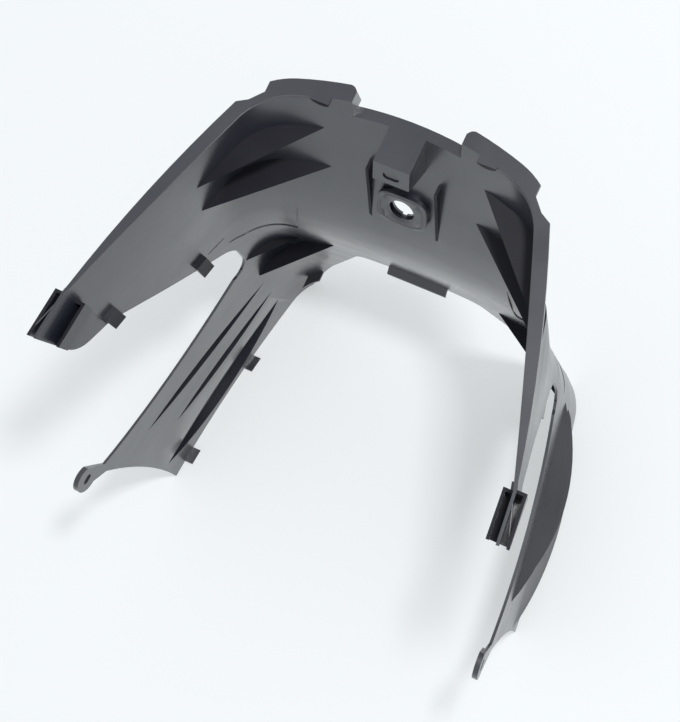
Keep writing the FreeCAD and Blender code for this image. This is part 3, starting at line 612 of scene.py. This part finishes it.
def grid_piece(name, points, ring, finish):
    """A closed skin over rows and columns of points in mm; columns close up, and rows too for a ring."""
    rows, columns = points.shape[:2]
    index = np.arange(rows * columns).reshape(rows, columns)
    first = np.arange(rows if ring else rows - 1)
    here, there = index[first], index[(first + 1) % rows]
    quads = np.stack([here, there, np.roll(there, -1, 1), np.roll(here, -1, 1)], axis=-1).reshape(-1, 4)
    flat = points.reshape(-1, 3)
    a, b, c, d = (flat[quads[:, k]] - flat.mean(axis=0) for k in range(4))
    six_volumes = (np.cross(b, c) * a).sum() + (np.cross(c, d) * a).sum()
    faces = quads.tolist() + ([] if ring else [index[0].tolist(), index[-1][::-1].tolist()])
    if six_volumes < 0:
        faces = [face[::-1] for face in faces]
    mesh = bpy.data.meshes.new(name)
    mesh.from_pydata((flat / MM).tolist(), [], faces)
    mesh.polygons.foreach_set("use_smooth", np.ones(len(mesh.polygons), bool))
    mesh.set_sharp_from_angle(angle=CREASE)
    mesh.materials.append(finish)
    piece = put(name, mesh)
    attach(piece, "root")
    print(name, "has", len(faces), "faces and", round(abs(six_volumes) / 6, 1), "mm3")


def both_sides(name, points, finish):
    """The same skin on the right and, mirrored, on the left."""
    grid_piece(name + "_right", points, False, finish)
    grid_piece(name + "_left", points * (-1, 1, 1), False, finish)


def on_wall(points):
    """Points moved straight onto the wall's inner face, in two steps because the face is curved."""
    for _ in range(2):
        offset, outward = wall_offset(points)
        points = points - outward * offset[:, None]
    return points, wall_offset(points)[1]


# %% [markdown]
# ## Plate round the lock hole
# The steering lock's barrel comes through a hole in the front wall, and a flat plate with a shallow ring
# groove fills the boss round it. A plate with a Boolean hole would do as well, and the groove would be one
# more cut. A closed profile carried round the hole gives the round hole, the groove and the oblong rim at
# once.

# %% Lock plate
LOCK_PLACE = np.array([0.0, 130.65, 288.0])
LOCK_ACROSS = np.array([1.0, 0.0, 0.0])
LOCK_IN = np.array([0.0, -0.90298, 0.42969])
LOCK_UP = np.cross(LOCK_IN, LOCK_ACROSS)
HOLE_RADIUS, OBLONG_ACROSS, OBLONG_UP, OBLONG_POWER = 11.0, 22.0, 17.0, 4
PLATE_STEPS = 96
# Foot, face, groove and outer edge of the plate: share of the way to the edge, and height in mm.
PLATE_PROFILE = np.array([(0, 4.4), (0, 6.2), (0.04, 6.4), (0.60, 6.4), (0.64, 6.0), (0.70, 6.0), (0.74, 6.4),
                          (0.94, 6.4), (1, 6.0), (1, 3.0), (0.9, 3.0), (0.9, 4.4)])


def lock_plate():
    """Points round the hole: the radius goes from the hole's, at share 0, to a rounded oblong's, at share 1.

    The oblong is a superellipse: the fourth powers of across and up, each over its half width, add up to one.
    """
    angle = np.linspace(0, 2 * np.pi, PLATE_STEPS, endpoint=False)[:, None]
    share, height = PLATE_PROFILE.T[:, None]
    oblong = (np.abs(np.cos(angle) / OBLONG_ACROSS) ** OBLONG_POWER
              + np.abs(np.sin(angle) / OBLONG_UP) ** OBLONG_POWER) ** (-1 / OBLONG_POWER)
    radius = HOLE_RADIUS * (1 - share) + oblong * share
    return (LOCK_PLACE + (radius * np.cos(angle))[..., None] * LOCK_ACROSS
            + (radius * np.sin(angle))[..., None] * LOCK_UP + (height + 0 * angle)[..., None] * LOCK_IN)


grid_piece("lock_plate", lock_plate(), True, wall_plastic)

# %% [markdown]
# ## Seam beads and rim line
# Thin raised lines run over the wall where two inserts of the mould met, and one follows the rim. They
# could be bump in the material, but a bump vanishes at the outline and in the exported mesh. Each is an
# oval profile along a path on the wall, softened at the path's corners and narrowed at both ends. They take
# the pale edge finish, a painted highlight along each line.

# %% Beads on the wall
BEAD_STEPS, BEAD_ROUND = 90, 10
SOFTEN = np.linspace(-2.5, 2.5, 9)
FADE_LENGTH, FADE_TIP = 4, 0.12
SEAM_WIDTH, SEAM_HEIGHT = 1.0, 0.5
RIM_LINE_WIDTH, RIM_LINE_HEIGHT, RIM_LINE_TALL = 1.3, 0.6, 376


def bead(name, stops, width, high):
    """An oval of a width and height along a path through stops, laid on the wall and narrowed at its ends.

    Each point of the path is the mean of nine points close to it, which rounds the corners. The oval goes by
    cosine across the path and by sine inwards from the wall.
    """
    stops = np.array(stops, float)
    run = np.concatenate([[0], np.cumsum(np.linalg.norm(np.diff(stops, axis=0), axis=1))])
    steps = np.linspace(0, run[-1], BEAD_STEPS)
    soft = [np.interp(steps[:, None] + SOFTEN, run, stops[:, k]).mean(axis=1) for k in range(3)]
    path, outward = on_wall(np.stack(soft, axis=1))
    ahead = np.gradient(path, axis=0)
    ahead /= np.linalg.norm(ahead, axis=1)[:, None]
    beside = np.cross(ahead, outward)
    fade = np.clip(np.minimum(steps, run[-1] - steps) / FADE_LENGTH, FADE_TIP, 1)[:, None, None]
    angle = np.linspace(0, 2 * np.pi, BEAD_ROUND, endpoint=False)[None, :, None]
    oval = beside[:, None] * np.cos(angle) * width / 2 - outward[:, None] * np.sin(angle) * high
    # The beads take the pale edge finish, a painted highlight along each line.
    both_sides(name, path[:, None] + fade * oval, edge_highlight_plastic)


bead("seam_corner", [(96, 108, 248), (102, 100, 203), (132, 88, 205), (142, 76, 206), (149, 61, 216)],
     SEAM_WIDTH, SEAM_HEIGHT)
bead("seam_arm", [(148, 63, 230), (154, 41, 234)], SEAM_WIDTH, SEAM_HEIGHT)
rim_stops = [(64, 165), (100, 148), (125, 120), (140, 85), (160, 30), (180, -30), (196, -85)]
bead("rim_line", [(*stop, RIM_LINE_TALL) for stop in rim_stops], RIM_LINE_WIDTH, RIM_LINE_HEIGHT)
